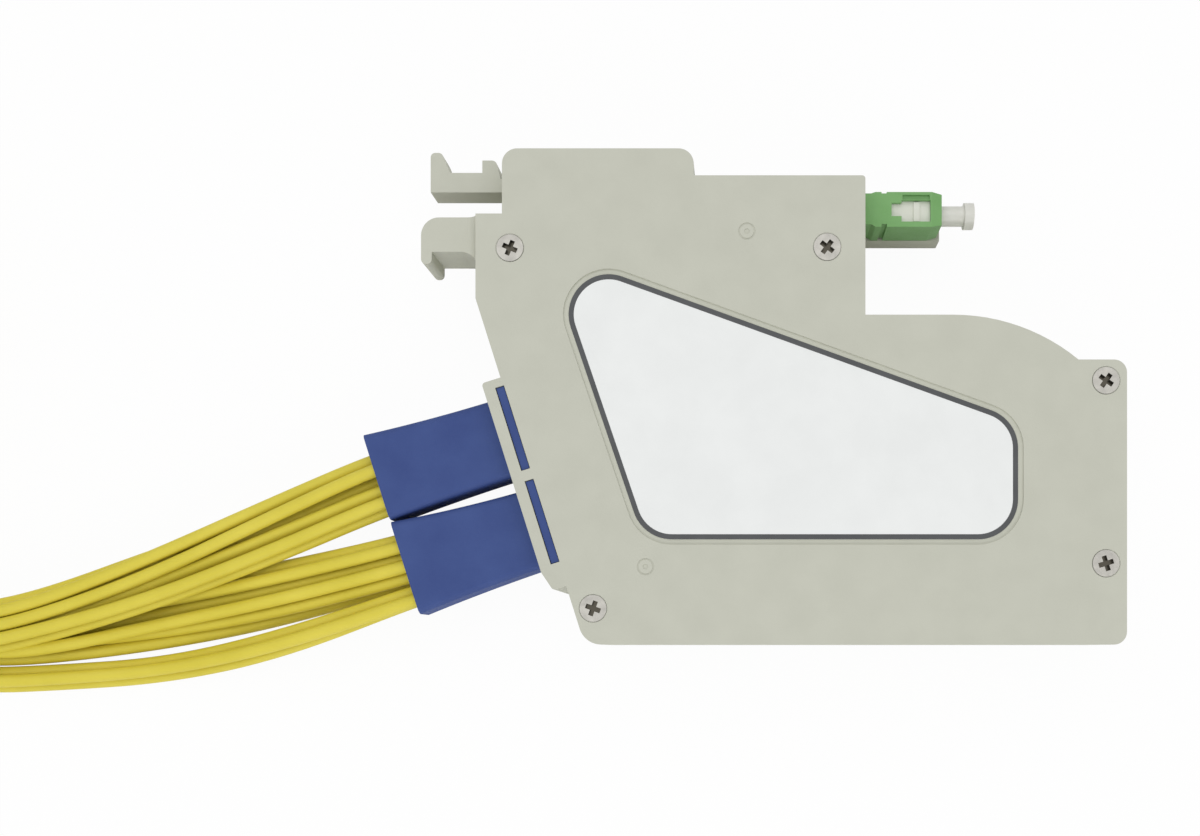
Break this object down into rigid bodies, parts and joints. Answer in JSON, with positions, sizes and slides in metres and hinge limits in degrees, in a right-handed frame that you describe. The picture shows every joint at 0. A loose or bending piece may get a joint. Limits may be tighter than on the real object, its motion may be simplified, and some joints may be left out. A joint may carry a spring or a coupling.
{
  "type": "fibre optic splitter module",
  "caption": "Flat plastic fibre splitter cassette with a green push-pull input plug, hook and sprung latch arm, and blue boots that lead out a tied coil of yellow pigtails with plugs.",
  "frame": {"origin": "middle of the casing's length and height, on its flat back", "axes": "+X along the casing's long side from the pigtail outlets to the plain end, +Y up the casing to the hook and latch side, +Z from the back out through the cover"},
  "size_m": [0.377, 0.1414, 0.0256],
  "materials": {
    "casing": "fine moulded texture, beige-grey",
    "label": "smooth white film with a dark grey border line",
    "screw_steel": "nickel-plated, cross recess",
    "pin_steel": "ground",
    "spring_steel": "bright rolled",
    "boot_rubber": "matt blue",
    "fanout_resin": "cast resin",
    "cord_jacket": "satin yellow jacket",
    "plug_green": "satin green",
    "plug_white": "satin white",
    "plug_metal": "nickel-plated",
    "ferrule_ceramic": "polished",
    "cap_clear": "translucent soft plastic",
    "foam": "adhesive foam",
    "splitter_steel": "brushed",
    "inner_rubber": "matt black",
    "fibre_coating": "buffered fibre, white",
    "fibre_tube": "clear-white loose tube",
    "tie": "black hook-and-loop strap",
    "plug_boot_green": "ribbed green boot"
  },
  "bodies": {
    "casing": {"housing": "casing", "cover": "casing", "label_film": "label", "cover_screws": "screw_steel", "latch_pin": "pin_steel", "latch_spring": "spring_steel", "upper_boot": "boot_rubber", "lower_boot": "boot_rubber", "upper_fanout": "fanout_resin", "lower_fanout": "fanout_resin", "plug_frame": "plug_white", "plug_rear_body": "plug_metal", "ferrule_spring": "spring_steel", "splitter_pad": "foam", "plc_splitter": "splitter_steel", "splitter_input_boot": "inner_rubber", "splitter_output_boot": "inner_rubber", "input_fibre": "fibre_coating", "upper_fibre_tube": "fibre_tube", "lower_fibre_tube": "fibre_tube", "cord_coil": "cord_jacket", "cord_tails": "cord_jacket", "coil_ties": "tie", "output_plugs": "plug_green", "output_plug_boots": "plug_boot_green", "output_dust_caps": "cap_clear", "upper_cord_1": "cord_jacket", "upper_cord_2": "cord_jacket", "upper_cord_3": "cord_jacket", "upper_cord_4": "cord_jacket", "upper_cord_5": "cord_jacket", "upper_cord_6": "cord_jacket", "upper_cord_7": "cord_jacket", "lower_cord_1": "cord_jacket", "lower_cord_2": "cord_jacket", "lower_cord_3": "cord_jacket", "lower_cord_4": "cord_jacket", "lower_cord_5": "cord_jacket", "lower_cord_6": "cord_jacket", "lower_cord_7": "cord_jacket", "lower_cord_8": "cord_jacket", "lower_cord_9": "cord_jacket"},
    "latch": {"latch_arm": "casing"},
    "grip": {"plug_grip": "plug_green"},
    "ferrule": {"ferrule": "ferrule_ceramic", "ferrule_holder": "plug_metal", "dust_cap": "cap_clear"}
  },
  "joints": [
    {"name": "latch_press", "type": "hinge", "parent": "casing", "child": "latch", "pos_m": [-0.0365, 0.04285, 0.0113], "axis": [0, 0, 1], "range_deg": [0, 4], "stiffness_Nm_per_rad": 1, "springref_deg": -2.86, "deforming": ["latch_spring"]},
    {"name": "grip_slide", "type": "slide", "parent": "casing", "child": "grip", "axis": [-1, 0, 0], "range_m": [0, 0.0018]},
    {"name": "ferrule_give", "type": "slide", "parent": "casing", "child": "ferrule", "axis": [-1, 0, 0], "range_m": [0, 0.0008], "stiffness_N_per_m": 800, "springref_m": -0.001, "deforming": ["ferrule_spring"]}
  ]
}
